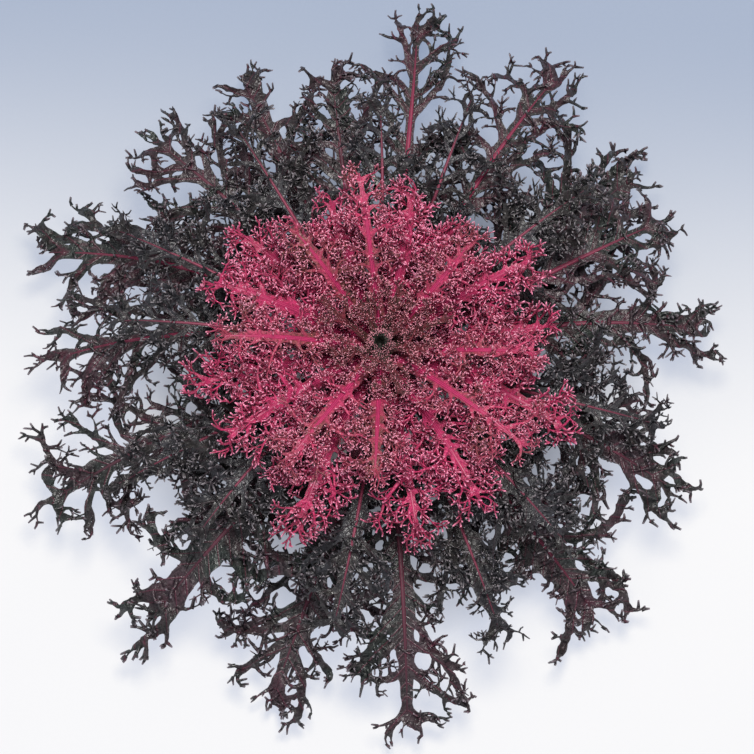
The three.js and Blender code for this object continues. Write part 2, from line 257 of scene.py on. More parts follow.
HABITS = {name: [Kind(**dict(zip(HABIT, row))) for row in rows] for name, rows in HABITS.items()}


# %% One twig, and what branches off it
def grow(rng, twigs, start, heading, length, lift, habit, order=0, bias=0.0, stout=1.0):
    """Adds a twig and all that branches off it. A path holds u, v, half width and lift at each bend."""
    rule = habit[order]
    steps = max(2, round(length / rule.step))
    share = np.linspace(0, 1, steps + 1)
    wander = rng.uniform(-1, 1) * rule.bend
    headings = heading + (bias + wander) * share + rng.normal(0, 0.13, steps + 1).cumsum()
    stride = length / steps
    u = start[0] + stride * np.concatenate([[0], np.cos(headings[:-1]).cumsum()])
    v = start[1] + stride * np.concatenate([[0], np.sin(headings[:-1]).cumsum()])
    width = mix(rule.end, rule.base, (1 - share) ** 1.6) * rng.uniform(0.85, 1.15) * stout
    lifts = lift + rng.uniform(*rule.rise) * share**1.5
    twigs.append(Kind(order=order, vein=rule.vein, path=np.stack([u, v, width, lifts], -1)))
    if order + 1 == len(habit):
        return
    side, since = rng.choice([-1, 1]), 0.0
    for i in range(1, steps):
        since += stride
        if since < rule.spacing:
            continue
        since, side = since - rule.spacing, -side
        angle = headings[i] + side * math.radians(rng.uniform(*rule.angle))
        child = rng.uniform(*rule.child) * mix(1.1, 0.7, share[i])
        grow(rng, twigs, (u[i], v[i]), angle, child, lifts[i], habit, order + 1, stout=stout)
    forks = rng.choice([(-1, 1), (-1, 0), (0, 1), (0, 0)], p=[0.5, 0.2, 0.2, 0.1])
    for side in sorted(set(forks)):
        angle = headings[-1] + side * math.radians(rng.uniform(16, 48)) + rng.normal(0, 0.1)
        child = rng.uniform(*rule.child) * rng.uniform(0.5, 0.8)
        grow(rng, twigs, (u[-1], v[-1]), angle, child, lifts[-1], habit, order + 1, stout=stout)


# %% The whole skeleton of a leaf
def skeleton(leaf):
    """The strap, the arms and what they carry. The lobes of the CAD model are the longest arms."""
    rng = np.random.default_rng(700 + leaf.layer)
    habit, twigs = HABITS[leaf.family], []
    length = leaf.tip - leaf.root
    # The strap is fleshier on a broad leaf, narrows towards its end, and has wavy margins.
    share = np.linspace(0, LAST_LOBE, 26)
    width = strap_half_width(leaf, share) * mix(1, leaf.breadth, smooth(0.1, 0.4, share))
    if leaf.family in ROSY:
        width *= mix(1.15, 0.9, smooth(0.3, 0.6, share))
    else:
        width *= 0.68 if leaf.family == "middle" else 0.85
    width *= 1 + 0.12 * np.sin(share * 60 + leaf.phase)
    strap = np.stack([leaf.root + length * share, 0 * share, width, 0 * share], -1)
    twigs.append(Kind(order=-1, vein=0, path=strap))

    def arm(share, side, angle, longest):
        u, v = leaf.root + length * share, strap_half_width(leaf, share)
        # An arm stays short of the tip, and is shorter there and on narrow leaves.
        limit = (0.95 if leaf.family == "outer" else 0.75) * (leaf.tip - u) / math.cos(angle)
        reach = min(longest / max(math.sin(angle), 0.75), limit)
        start = (u - 0.8 * v / math.tan(angle), side * 0.2 * v)
        near_tip = smooth(0.5, 0.85, share)
        reach *= dict(middle=mix(1, 0.45, near_tip), crown=mix(0.92, 0.5, near_tip)).get(leaf.family, 0.9)
        if leaf.family in DARK:
            reach *= mix(0.6, 1.15, leaf.breadth)
        elif leaf.family in ROSY:
            reach *= min(max(leaf.tip / 95, 0.75), 1) * (0.9 - 0.3 * math.sin(math.radians(leaf.azimuth)))
        reach += 0.8 * v / math.sin(angle)
        stout = 0.75 + 0.5 * leaf.breadth
        grow(rng, twigs, start, side * angle, reach, 0, habit, bias=side * 0.3, stout=stout)

    pitch = (LAST_LOBE - FIRST_LOBE) / leaf.pairs
    for lobe in range(leaf.pairs * 2):
        middle, side = FIRST_LOBE + pitch * (lobe // 2 + 0.5), 1 - lobe % 2 * 2
        share = middle + pitch * 0.24 * (draw(leaf.layer, lobe, 1) - 0.5)
        angle = math.radians(mix(72, 30, share) + 12 * (draw(leaf.layer, lobe, 3) - 0.5))
        stretch = mix(0.5, 1, smooth(FIRST_LOBE, 0.6, share)) * mix(1, 0.75, smooth(0.75, 1, share))
        longest = leaf.span * stretch * mix(0.82, 1.12, draw(leaf.layer, lobe, 4))
        arm(share, side, angle + rng.uniform(-0.2, 0.2), longest * rng.uniform(0.8, 1.1))
        if lobe // 2 < leaf.pairs - 1 and leaf.family != "heart":
            between = share + pitch * rng.uniform(0.35, 0.65)
            turned = angle - 0.1 + rng.uniform(-0.35, 0.35)
            arm(between, side, turned, leaf.span * stretch * rng.uniform(0.35, 0.8))

    # Three arms carry on from the end of the strap, one straight on and one to each side.
    start = leaf.root + length * LAST_LOBE
    for angle in (-34, 0, 34):
        reach = length * (1 - LAST_LOBE) / math.cos(math.radians(angle)) * 0.8
        grow(rng, twigs, (start - 2, 0), math.radians(angle), reach + 2, 0, habit)
    return twigs + (bridges(rng, twigs) if leaf.family in DARK else [])


def bridges(rng, twigs):
    """Bars from one arm to the next that close the bay between them to a round window."""
    found = []
    for side in (-1, 1):
        arms = [twig.path for twig in twigs if twig.order == 0 and twig.path[-1, 1] * side > 3]
        arms.sort(key=lambda path: path[0, 0])
        for near, far in [pair for pair in zip(arms, arms[1:]) for _ in range(2)]:
            a, b = (path[int(len(path) * rng.uniform(0.35, 0.9))] for path in (near, far))
            if rng.uniform() < 0.6 and 4 < math.dist(a[:2], b[:2]) < 15:
                bow = (a + b) / 2 + [0, side * rng.uniform(0.5, 2.5), 0, 0]
                path = np.array([a, bow, b])
                path[:, 2] = rng.uniform(0.5, 1.0)
                found.append(Kind(order=0, vein=0, path=path))
    return found


bones = {leaf.layer: skeleton(leaf) for leaf in leaves}
for name in FAMILIES:
    counts = [len(bones[leaf.layer]) for leaf in leaves if leaf.family == name]
    print(name, "leaves have", min(counts), "to", max(counts), "twigs")

# %% [markdown]
# ## Flesh on the skeleton
#
# The blade is whatever lies near a twig. Each twig step counts as a round-ended bar that fades out with
# distance, and the bars are added up, so that where two meet, the bay between them fills in round, as it does
# in the leaf. Where the sum crosses a level is the leaf's edge. Filling squares of a grid inside that edge,
# with cut squares along it, gives a sheet whose points are all shared, so it needs no cleaning.

# %% The blade as a field
GRID = dict(outer=1.35, middle=1.3, crown=1.0, inner=0.9, heart=0.65)  # mm between grid points

# How sharply a bar fades out, per mm. Less makes rounder bays and thicker joints.
SOFTNESS = dict(outer=2.5, middle=2.7, crown=3.0, inner=3.0, heart=3.2)
FADE = 2.6  # mm outside a bar at which it no longer counts


def bars(leaf, twigs):
    """Both ends of each step that the blade grows on, and how strong its vein is. That is the strap, with
    the arms and the roots of the prongs on a dark leaf, and only the arms' roots on a finer magenta one."""
    counted, rows = (None, 2, 0) if leaf.family in DARK else (3, 0, 0), []
    for twig in twigs:
        steps = None if twig.order < 0 else counted[twig.order]
        pairs = zip(twig.path[:steps], twig.path[1:steps])
        rows += [[*a, *b, twig.vein * leaf.pink * (1 - i / len(twig.path))] for i, (a, b) in enumerate(pairs)]
    return np.array(rows)


def flesh(leaf, twigs):
    """Depth inside the leaf's edge (below zero inside), lift and vein strength on a grid over the leaf."""
    step, softness = GRID[leaf.family], SOFTNESS[leaf.family]
    rows = bars(leaf, twigs)
    ends = np.vstack([rows[:, 0:2], rows[:, 4:6]])
    low = ends.min(0) - leaf.strap - FADE
    low[0] = leaf.root
    shape = np.ceil((ends.max(0) + FADE - low) / step).astype(int) + 2
    total, lifted, vein = (np.zeros(shape) for _ in range(3))
    for u0, v0, r0, l0, u1, v1, r1, l1, strength in rows:
        pad = max(r0, r1) + FADE
        near = np.array([min(u0, u1), min(v0, v1)]) - pad - low
        far = np.array([max(u0, u1), max(v0, v1)]) + pad - low
        first = np.maximum(np.floor(near / step), 0).astype(int)
        last = np.minimum(np.ceil(far / step).astype(int) + 1, shape)
        u = low[0] + step * np.arange(first[0], last[0])[:, None]
        v = low[1] + step * np.arange(first[1], last[1])[None, :]
        du, dv = u1 - u0, v1 - v0
        along = np.clip(((u - u0) * du + (v - v0) * dv) / (du * du + dv * dv + 1e-9), 0, 1)
        off = np.hypot(u - u0 - along * du, v - v0 - along * dv)
        weight = np.exp(-softness * (off - mix(r0, r1, along)))
        window = (slice(first[0], last[0]), slice(first[1], last[1]))
        total[window] += weight
        lifted[window] += weight * mix(l0, l1, along)
        vein[window] = np.maximum(vein[window], strength * np.exp(-((off / (0.2 * r0 + 0.3)) ** 2)))
    depth = -np.log(total + 1e-9) / softness
    return low, step, depth, lifted / (total + 1e-9), vein


# %% Filling the grid inside the edge
def filled(depth):
    """Points of the grid, in squares, and triangles that cover the part where depth is below zero."""
    inside = depth < 0
    number = np.full(depth.shape, -1)
    number[inside] = np.arange(inside.sum())
    points, count = [np.argwhere(inside).astype(float)], int(inside.sum())
    cuts = []
    for axis, (near, far) in enumerate([(depth[:-1], depth[1:]), (depth[:, :-1], depth[:, 1:])]):
        cut = (near < 0) != (far < 0)
        share = np.clip(near / np.where(cut, near - far, 1), 0.15, 0.85)
        where = np.argwhere(cut).astype(float)
        where[:, axis] += share[cut]
        ids = np.full(cut.shape, -1)
        ids[cut] = count + np.arange(len(where))
        count += len(where)
        points.append(where)
        cuts.append(ids)
    corners = [number[:-1, :-1], number[1:, :-1], number[1:, 1:], number[:-1, 1:]]
    sides = [cuts[0][:, :-1], cuts[1][1:, :], cuts[0][:, 1:], cuts[1][:-1, :]]
    kind = sum((corner >= 0).astype(int) << k for k, corner in enumerate(corners))
    triangles = []
    for code in range(1, 16):
        here = kind == code
        ring = []
        for k in range(4):
            full, next_full = code >> k & 1, code >> (k + 1) % 4 & 1
            if full:
                ring.append(corners[k][here])
            if full != next_full:
                ring.append(sides[k][here])
        triangles += [np.stack([ring[0], ring[i], ring[i + 1]], -1) for i in range(1, len(ring) - 1)]
    return np.vstack(points), np.vstack(triangles)


def largest_part(points, triangles):
    """Drops crumbs that hang on nothing."""
    label = np.arange(len(points))
    while True:
        lowest = label[triangles].min(1)
        before = label.copy()
        for k in range(3):
            np.minimum.at(label, triangles[:, k], lowest)
        label = label[label]
        if (label == before).all():
            break
    main = np.bincount(label[triangles[:, 0]]).argmax()
    kept = label == main
    renumber = np.cumsum(kept) - 1
    return kept, renumber[triangles[kept[triangles[:, 0]]]]


# %% [markdown]
# ## Frills
#
# The margin of a kale leaf grows faster than its middle, so it has too much edge for its length and has to
# buckle. It stands in waves, large ones across each arm and smaller ones at the margin. The blade is cupped
# along the midrib. All of this is one height added to the dome, zero at the midrib and larger outwards.

# %% The height of the blade over its dome
FRILLS = dict(  # height and length of the large and of the small waves in mm, and the rise of the cup
    outer=(2.2, 17, 1.0, 6.0, 0.2),
    middle=(2.8, 14, 1.3, 5.5, 0.24),
    crown=(2.2, 13, 1.0, 5.0, 0.3),
    inner=(1.4, 11, 0.7, 4.5, 0.3),
    heart=(0.5, 8, 0.3, 3.5, 0.3),
)


def frilled(leaf, u, v, lift):
    """Places on the living leaf, in millimetres."""
    tall, length, low, short, rise = FRILLS[leaf.family]
    share = (u - leaf.root) / (leaf.tip - leaf.root)
    strap = strap_half_width(leaf, share)
    out = smooth(0.4 * strap, strap + 9, np.abs(v)) + 0.5 * smooth(0.85, 1, share)
    side = np.where(v < 0, 1.7, 0)
    wave = tall * np.sin(
        FULL_TURN * (u + 0.35 * np.abs(v)) / length + leaf.phase + side + 1.3 * np.sin(u / 23)
    )
    ripple = low * np.sin(FULL_TURN * (0.75 * u - 0.65 * np.abs(v)) / short + 2 * leaf.phase + side)
    cup = rise * np.minimum(np.abs(v), strap) * smooth(0, FIRST_LOBE, share)
    return laid(leaf, u, v, lift + cup + out * wave + out * ripple)


# %% A mesh from arrays
def mark(mesh, **columns):
    """Gives the points of a mesh one number each under every one of these names."""
    for name, values in columns.items():
        layer = mesh.attributes.new(name, "FLOAT", "POINT")
        layer.data.foreach_set("value", np.asarray(values, np.float32))


def mesh_of(name, points, faces, smoothed=None, **columns):
    """A mesh from points in millimetres and triangles, all of them shaded smooth unless told otherwise."""
    mesh = bpy.data.meshes.new(name)
    mesh.from_pydata((points * MM).tolist(), [], faces.tolist())
    mesh.polygons.foreach_set("use_smooth", np.ones(len(faces), bool) if smoothed is None else smoothed)
    mark(mesh, **columns)
    mesh.update()
    return mesh


def triangles_in(mesh):
    return sum(len(polygon.vertices) - 2 for polygon in mesh.polygons)


# %% A blade with two faces and a rim
def slant_of(u, v):
    """Metres along the midrib at which a side vein through this place would leave it."""
    return (u - 0.9 * np.abs(v)) * MM


def blade(leaf, twigs):
    """The filled sheet, laid on its dome with its frills, with an upper face, a lower face and a rim."""
    low, step, depth, lift, vein = flesh(leaf, twigs)
    squares, triangles = filled(depth)
    kept, triangles = largest_part(squares, triangles)
    squares = squares[kept]
    whole = np.minimum(squares.astype(int), np.array(depth.shape) - 2)
    part = squares - whole

    def at(values):
        rows, columns = whole.T
        a, b = part.T
        near = mix(values[rows, columns], values[rows, columns + 1], b)
        return mix(near, mix(values[rows + 1, columns], values[rows + 1, columns + 1], b), a)

    u, v = (low + step * squares).T
    places = frilled(leaf, u, v, at(lift))
    normals = np.zeros_like(places)
    a, b, c = (places[triangles[:, k]] for k in range(3))
    across = np.cross(b - a, c - a)
    for k in range(3):
        np.add.at(normals, triangles[:, k], across)
    normals /= np.linalg.norm(normals, axis=1, keepdims=True) + 1e-12
    share = (u - leaf.root) / (leaf.tip - leaf.root)
    half = mix(0.8, 0.36, smooth(0, 0.4, share))[:, None]  # mm, half the thickness

    count = len(places)
    edges = np.vstack([triangles[:, [0, 1]], triangles[:, [1, 2]], triangles[:, [2, 0]]])
    key, back = edges[:, 0] * count + edges[:, 1], edges[:, 1] * count + edges[:, 0]
    a, b = edges[~np.isin(key, back)].T
    rim = np.vstack([np.stack([b, a, a + count], -1), np.stack([b, a + count, b + count], -1)])
    faces = np.vstack([triangles, triangles[:, ::-1] + count, rim])
    smoothed = np.arange(len(faces)) < 2 * len(triangles)
    # The tip mark pales the margin a little: the magenta leaves' paler edge, and on the dark leaves a faint
    # painted highlight.
    margin = 1 - smooth(0, 1.6, -at(depth))
    solid = np.vstack([places + normals * half, places - normals * half])
    marks = dict(vein=at(vein), tip=margin * 0.25, slant=slant_of(u, v))
    marks = {name: np.tile(values, 2) for name, values in marks.items()}
    return mesh_of(leaf.node, solid, faces, smoothed, **marks)


# %% [markdown]
# ## Node trees
#
# Finishes and Geometry Nodes are both trees of nodes. One small function adds a node, sets its properties,
# and fills its inputs with numbers or with links. A link comes from an output of another node, or from a node
# as a whole, which stands for the first of its outputs that its settings leave in use. Colours are written as
# the hex codes that a designer would use and are turned to the linear values that the renderer works in.


# %% Adding a node, and turning a colour to linear
def feed(tree, node, inputs):
    """Fills inputs of a node, by name or number."""
    for key, value in inputs.items():
        if isinstance(value, bpy.types.Node):
            value = next(output for output in value.outputs if output.enabled)
        if isinstance(value, bpy.types.NodeSocket):
            tree.links.new(value, node.inputs[key])
        else:
            node.inputs[key].default_value = value


def add(tree, kind, inputs=None, **settings):
    """Adds a node with its settings and inputs."""
    node = tree.nodes.new(kind)
    for name, value in settings.items():
        setattr(node, name, value)
    feed(tree, node, inputs or {})
    return node


def colour(code):
    """The linear colour of an sRGB hex code, with its opacity."""
    parts = [int(code[i : i + 2], 16) / 255 for i in (1, 3, 5)]
    return [p / 12.92 if p <= 0.04045 else ((p + 0.055) / 1.055) ** 2.4 for p in parts] + [1.0]


def bare_material(name):
    """A material with nothing but its shader, its node tree, and the places that its patterns lie on."""
    material = bpy.data.materials.new(name)
    material.use_nodes = True
    tree = material.node_tree
    return material, tree, add(tree, "ShaderNodeTexCoord").outputs["Object"]


print("mid grey in linear light:", [round(part, 3) for part in colour("#808080")])

# %% [markdown]
# ## The finish of the blades
#
# A leaf is wet, slightly see-through tissue under a skin of wax. Its colour varies in patches about 2 cm
# across, and is mottled within them. Side veins leave the midrib every 7 mm at a slant, and a net of fine veins
# stands out of the skin between them. Wax blooms where the surface turns away. The thin edges and tips are
# paler: on the magenta leaves that is their own colour, and on the dark leaves it is a painted highlight. It
# could be painted on an image, but that would blur on so fine a fringe. Here the patches, mottling and net are
# noise and Voronoi textures in real millimetres. Veins, pale tips and painted highlights come from three
# attributes that the mesh carries, vein, slant and tip, so they follow the leaf's own form.


# %% The blade's tree
def leaf_skin(name, lamina, patches, veins, pale_ends_and_highlights, bloom, rough, inner_light, crinkle):
    """Leaf tissue: two blotched colours, a colour for veins and one for the pale tips, which on the dark leaves
    paints highlights, how bloomed, rough and see-through it is, and the height of its crinkles in millimetres."""
    material, tree, place = bare_material(name)
    blotch = add(tree, "ShaderNodeTexNoise", {"Vector": place, "Scale": 1 / (22 * MM), "Detail": 4.0})
    spread = add(tree, "ShaderNodeMapRange", {"Value": blotch, "From Min": 0.38, "From Max": 0.62})
    tint = add(tree, "ShaderNodeMix", {0: spread, 6: colour(lamina), 7: colour(patches)}, data_type="RGBA")

    # Mottling by groups of cells, drawn 1.3 mm across, because the cells themselves are too fine to show.
    cells = add(tree, "ShaderNodeTexNoise", {"Vector": place, "Scale": 1 / (1.3 * MM), "Detail": 2.0})
    shade = add(
        tree,
        "ShaderNodeMapRange",
        {"Value": cells, "From Min": 0.35, "From Max": 0.65, "To Min": 0.5, "To Max": 1.4},
    )
    mottled = add(tree, "ShaderNodeVectorMath", {0: tint, "Scale": shade}, operation="SCALE")

    # Side veins 7 mm apart: the crests of a wave texture lie 0.314 / Scale apart. A little of the place
    # itself is mixed in, so that no vein runs dead straight.
    slant = add(tree, "ShaderNodeAttribute", attribute_name="slant").outputs["Fac"]
    fan = add(tree, "ShaderNodeCombineXYZ", {"X": slant})
    fan = add(tree, "ShaderNodeVectorMath", {0: place, 1: (0.12,) * 3, 2: fan}, operation="MULTIPLY_ADD")
    folds = add(
        tree,
        "ShaderNodeTexWave",
        {"Vector": fan, "Scale": 0.314 / (7 * MM), "Distortion": 2.5, "Detail": 2.0, "Detail Scale": 1.5},
    ).outputs["Fac"]
    line = add(
        tree,
        "ShaderNodeMapRange",
        {"Value": folds, "From Min": 0.94, "From Max": 1.0, "To Min": 0.0, "To Max": 0.42},
    )
    vein = add(tree, "ShaderNodeAttribute", attribute_name="vein").outputs["Fac"]
    marked = add(tree, "ShaderNodeMath", {0: vein, 1: line}, operation="MAXIMUM")
    veined = add(tree, "ShaderNodeMix", {0: marked, 6: mottled, 7: colour(veins)}, data_type="RGBA")
    # Paler tips: on the magenta leaves their own colour, on the dark leaves painted highlights.
    tip = add(tree, "ShaderNodeAttribute", attribute_name="tip").outputs["Fac"]
    pale = add(tree, "ShaderNodeMath", {0: tip, 1: 2.3}, operation="POWER")
    pale_ends_and_highlights_mixed = add(tree, "ShaderNodeMix", {0: pale, 6: veined, 7: colour(pale_ends_and_highlights)}, data_type="RGBA")

    # The net's meshes are drawn 3 mm wide, about twice the real ones, and the grain of the wax 2.6 mm wide,
    # because both are too fine to show.
    grain = add(tree, "ShaderNodeTexNoise", {"Vector": place, "Scale": 1 / (2.6 * MM), "Detail": 3.0})
    matt = {"From Min": 0.3, "From Max": 0.7, "To Min": rough - 0.1, "To Max": rough + 0.1}
    wax = add(tree, "ShaderNodeMapRange", {"Value": grain} | matt)
    net = add(
        tree, "ShaderNodeTexVoronoi", {"Vector": place, "Scale": 1 / (3 * MM)}, feature="DISTANCE_TO_EDGE"
    )
    ridge = add(tree, "ShaderNodeMapRange", {"Value": net, "From Max": 0.12, "To Min": 1, "To Max": 0})
    uneven = add(tree, "ShaderNodeMath", {0: ridge, 1: 0.2, 2: grain}, operation="MULTIPLY_ADD")
    relief = add(tree, "ShaderNodeMath", {0: line, 1: 0.65, 2: uneven}, operation="MULTIPLY_ADD")
    bump = add(tree, "ShaderNodeBump", {"Height": relief, "Strength": 0.8, "Distance": crinkle * MM})
    feed(tree, tree.nodes["Principled BSDF"], {
        "Base Color": pale_ends_and_highlights_mixed, "Roughness": wax, "Normal": bump,
        "IOR": 1.42, "Specular IOR Level": 0.48,
        "Sheen Weight": bloom, "Sheen Roughness": 0.4, "Sheen Tint": colour("#b9b4c6"),
        "Subsurface Weight": inner_light, "Subsurface Radius": (1.2, 0.35, 0.4), "Subsurface Scale": 1 * MM,
    })
    return material


SKINS = dict(
    # Old leaves: red and green together look nearly black, and the wax puts a soft light on the folds. Their
    # pale tips are painted highlights.
    outer=leaf_skin("dark leaf skin", "#35272c", "#232926", "#64263c", "#7a7077", 0.05, 0.36, 0.0, 0.85),
    # Darker than the old leaves, which is painted shade of their tighter folds, and a little glossier, with
    # painted highlights on edges and tips.
    middle=leaf_skin("dusky leaf skin", "#262423", "#2a2b2f", "#3c2830", "#7c767a", 0.05, 0.34, 0.0, 0.95),
    # Leaves without any green: light goes a millimetre in and comes back pink, which softens the shadows.
    crown=leaf_skin("magenta leaf skin", "#a22a52", "#842a42", "#b83464", "#ea90ae", 0.08, 0.4, 0.1, 0.8),
    # The same, with brown patches where the green isn't gone yet.
    inner=leaf_skin(
        "young magenta leaf skin", "#9c3252", "#6a3a38", "#b4365e", "#ea96ae", 0.08, 0.4, 0.1, 0.8
    ),
    # The youngest leaves: wine red over olive, and pale only at the very tips.
    heart=leaf_skin("heart leaf skin", "#582529", "#302e25", "#8c3044", "#ec9cab", 0.05, 0.42, 0.08, 0.6),
    # Leaves still folded inside the bud: matt, and painted nearly black as the shade of the hollow, where
    # little light finds its way out.
    hollow=leaf_skin("painted shade inside the bud", "#221718", "#1a1d16", "#2a1a1c", "#5e4a48", 0.0, 0.6, 0.0, 0.6),
)
print("leaf skins:", [skin.name for skin in SKINS.values()])

# %% [markdown]
# ## The finish of the ribs
#
# A midrib is a bundle of stringy vessels under a thin, smooth skin. It is striped lengthwise: crests catch
# the light and grooves are deeper in colour. It fades into the blade's own colour towards the tip. The
# stripes are an attribute of the rib's own mesh, so that they run along it, and a noise breaks them up.


# %% The rib's tree
def rib_skin(name, crest, groove, faded, rough):
    """Rib tissue: colours of the crests, of the grooves and where the rib runs out, and how rough it is."""
    material, tree, place = bare_material(name)
    fleck = add(tree, "ShaderNodeTexNoise", {"Vector": place, "Scale": 1 / (4 * MM), "Detail": 3.0})
    stripe = add(tree, "ShaderNodeAttribute", attribute_name="groove").outputs["Fac"]
    varied = add(tree, "ShaderNodeMath", {0: fleck, 1: 0.7, 2: -0.25}, operation="MULTIPLY_ADD")
    depth = add(tree, "ShaderNodeMath", {0: stripe, 1: varied}, operation="ADD", use_clamp=True)
    striped = add(tree, "ShaderNodeMix", {0: depth, 6: colour(crest), 7: colour(groove)}, data_type="RGBA")
    fade = add(tree, "ShaderNodeAttribute", attribute_name="fade").outputs["Fac"]
    ended = add(tree, "ShaderNodeMix", {0: fade, 6: striped, 7: colour(faded)}, data_type="RGBA")
    skin = add(tree, "ShaderNodeMapRange", {"Value": fleck, "To Min": rough - 0.1, "To Max": rough + 0.12})
    bump = add(tree, "ShaderNodeBump", {"Height": fleck, "Strength": 0.3, "Distance": 0.3 * MM})
    feed(tree, tree.nodes["Principled BSDF"], {
        "Base Color": ended, "Roughness": skin, "Normal": bump,
        "IOR": 1.42, "Specular IOR Level": 0.36,
    })
    return material


RIB_SKINS = dict(
    # A crimson line that stands out of the dark blade, matt enough to keep its colour under the light.
    dark=rib_skin("crimson midrib", "#ac3258", "#7a2643", "#33252b", 0.52),
    # Juicier and smoother: the crests shine pink, and the grooves between them are deep magenta.
    magenta=rib_skin("magenta midrib", "#c43a6a", "#7c1f40", "#90284c", 0.38),
    # Barely redder than the blade, so that the heart stays dark.
    heart=rib_skin("heart midrib", "#64222f", "#402024", "#502228", 0.45),
)
print("rib skins:", [skin.name for skin in RIB_SKINS.values()])

# %% [markdown]
# ## Ribs and prongs, with Geometry Nodes
#
# Ribs, prongs and teeth all follow a path, so one Geometry Nodes tree makes them. The script only draws the
# paths, as chains of edges whose points carry a half width, a tilt and a mark. The tree turns each chain to a
# curve, tilts it, and sweeps one profile along it: a flattened round, of which every other point can be drawn
# in to groove it lengthwise. Attributes pass from the path to the mesh, so the finish can read them.


# %% How every tree starts and ends
def growing_tree(name, inputs):
    """A Geometry Nodes tree with these inputs beside its geometry, and the sockets at which they come in."""
    tree = bpy.data.node_groups.new(name, "GeometryNodeTree")
    for label, kind, value in [("Geometry", "Geometry", None), *inputs]:
        socket = tree.interface.new_socket(label, in_out="INPUT", socket_type=f"NodeSocket{kind}")
        if value is not None:
            socket.default_value = value
    tree.interface.new_socket("Geometry", in_out="OUTPUT", socket_type="NodeSocketGeometry")
    return tree, add(tree, "NodeGroupInput").outputs


def end_tree(tree, geometry, skin):
    """Makes copies real and sets the material, because only plain meshes with a material are handed on."""
    plain = add(tree, "GeometryNodeRealizeInstances", {0: geometry})
    skinned = add(tree, "GeometryNodeSetMaterial", {"Geometry": plain, "Material": skin})
    add(tree, "NodeGroupOutput", {0: skinned})
    print("the tree", tree.name, "has", len(tree.nodes), "nodes")


# %% The strip tree
strip_tree, given = growing_tree("Ribs and prongs", [
    ("Sides", "Int", 10),
    ("Flatness", "Float", 0.6),
    ("Groove depth", "Float", 0.1),
    ("Skin", "Material", None),
])
width = add(strip_tree, "GeometryNodeInputNamedAttribute", {"Name": "half_width"}, data_type="FLOAT")
lean = add(strip_tree, "GeometryNodeInputNamedAttribute", {"Name": "lean"}, data_type="FLOAT")
path = add(strip_tree, "GeometryNodeMeshToCurve", {"Mesh": given["Geometry"]})
level = add(strip_tree, "GeometryNodeSetCurveNormal", {"Curve": path}, mode="Z_UP")
tilted = add(strip_tree, "GeometryNodeSetCurveTilt", {"Curve": level, "Tilt": lean})
ring = add(
    strip_tree,
    "GeometryNodeCurvePrimitiveCircle",
    {"Resolution": given["Sides"], "Radius": 1.0},
    mode="RADIUS",
)
index = add(strip_tree, "GeometryNodeInputIndex")
odd = add(strip_tree, "ShaderNodeMath", {0: index, 1: 2.0}, operation="MODULO")
drawn = add(strip_tree, "ShaderNodeMath", {0: odd, 1: given["Groove depth"]}, operation="MULTIPLY")
kept_share = add(strip_tree, "ShaderNodeMath", {0: 1.0, 1: drawn}, operation="SUBTRACT")
shape = add(strip_tree, "ShaderNodeCombineXYZ", {"X": 1.0, "Y": given["Flatness"], "Z": 1.0})
spot = add(strip_tree, "GeometryNodeInputPosition")
flat = add(strip_tree, "ShaderNodeVectorMath", {0: spot, 1: shape}, operation="MULTIPLY")
grooved = add(strip_tree, "ShaderNodeVectorMath", {0: flat, "Scale": kept_share}, operation="SCALE")
profile = add(strip_tree, "GeometryNodeSetPosition", {"Geometry": ring, "Position": grooved})
marked = add(
    strip_tree,
    "GeometryNodeStoreNamedAttribute",
    {"Geometry": profile, "Name": "groove", "Value": odd},
    data_type="FLOAT",
    domain="POINT",
)
swept = add(
    strip_tree,
    "GeometryNodeCurveToMesh",
    {"Curve": tilted, "Profile Curve": marked, "Scale": width, "Fill Caps": True},
)
rounded = add(strip_tree, "GeometryNodeSetShadeSmooth", {0: swept})
end_tree(strip_tree, rounded, given["Skin"])


# %% Running a tree on a mesh
def stand(name, data):
    """Puts an object with this mesh, light or camera in the scene."""
    thing = bpy.data.objects.new(name, data)
    bpy.context.scene.collection.objects.link(thing)
    return thing


def made_by(tree, mesh, **values):
    """The plain mesh that a Geometry Nodes tree makes of a mesh, with these inputs."""
    carrier = stand("carrier", mesh)
    modifier = carrier.modifiers.new("growth", "NODES")
    modifier.node_group = tree
    for item in tree.interface.items_tree:
        key = item.name.replace(" ", "_")
        if item.in_out == "INPUT" and key in values:
            modifier[item.identifier] = values[key]
    evaluated = carrier.evaluated_get(bpy.context.evaluated_depsgraph_get())
    result = bpy.data.meshes.new_from_object(evaluated)
    carrier.modifiers.clear()
    bpy.data.objects.remove(carrier)
    bpy.data.meshes.remove(mesh)
    return result


# %% Paths for the strip tree
def chains_of(lengths, places, **columns):
    """A mesh of edge chains with this many points each, and one number for each point in each attribute."""
    ends = np.cumsum(lengths)
    edges = [(i, i + 1) for first, end in zip([0, *ends], ends) for i in range(first, end - 1)]
    mesh = bpy.data.meshes.new("paths")
    mesh.from_pydata((places * MM).tolist(), edges, [])
    mark(mesh, **columns)
    return mesh


RIBS = dict(  # half widths in mm at the stalk, halfway and at the tip, sides, flatness, groove depth and skin
    outer=(3.4, 1.4, 0.35, 10, 0.55, 0.1, "dark"),
    middle=(3.1, 1.0, 0.35, 8, 0.55, 0.08, "dark"),
    crown=(2.7, 1.8, 0.4, 22, 0.45, 0.14, "magenta"),
    inner=(2.0, 1.35, 0.35, 20, 0.45, 0.14, "magenta"),
    heart=(0.9, 0.6, 0.3, 8, 0.5, 0.12, "heart"),
)


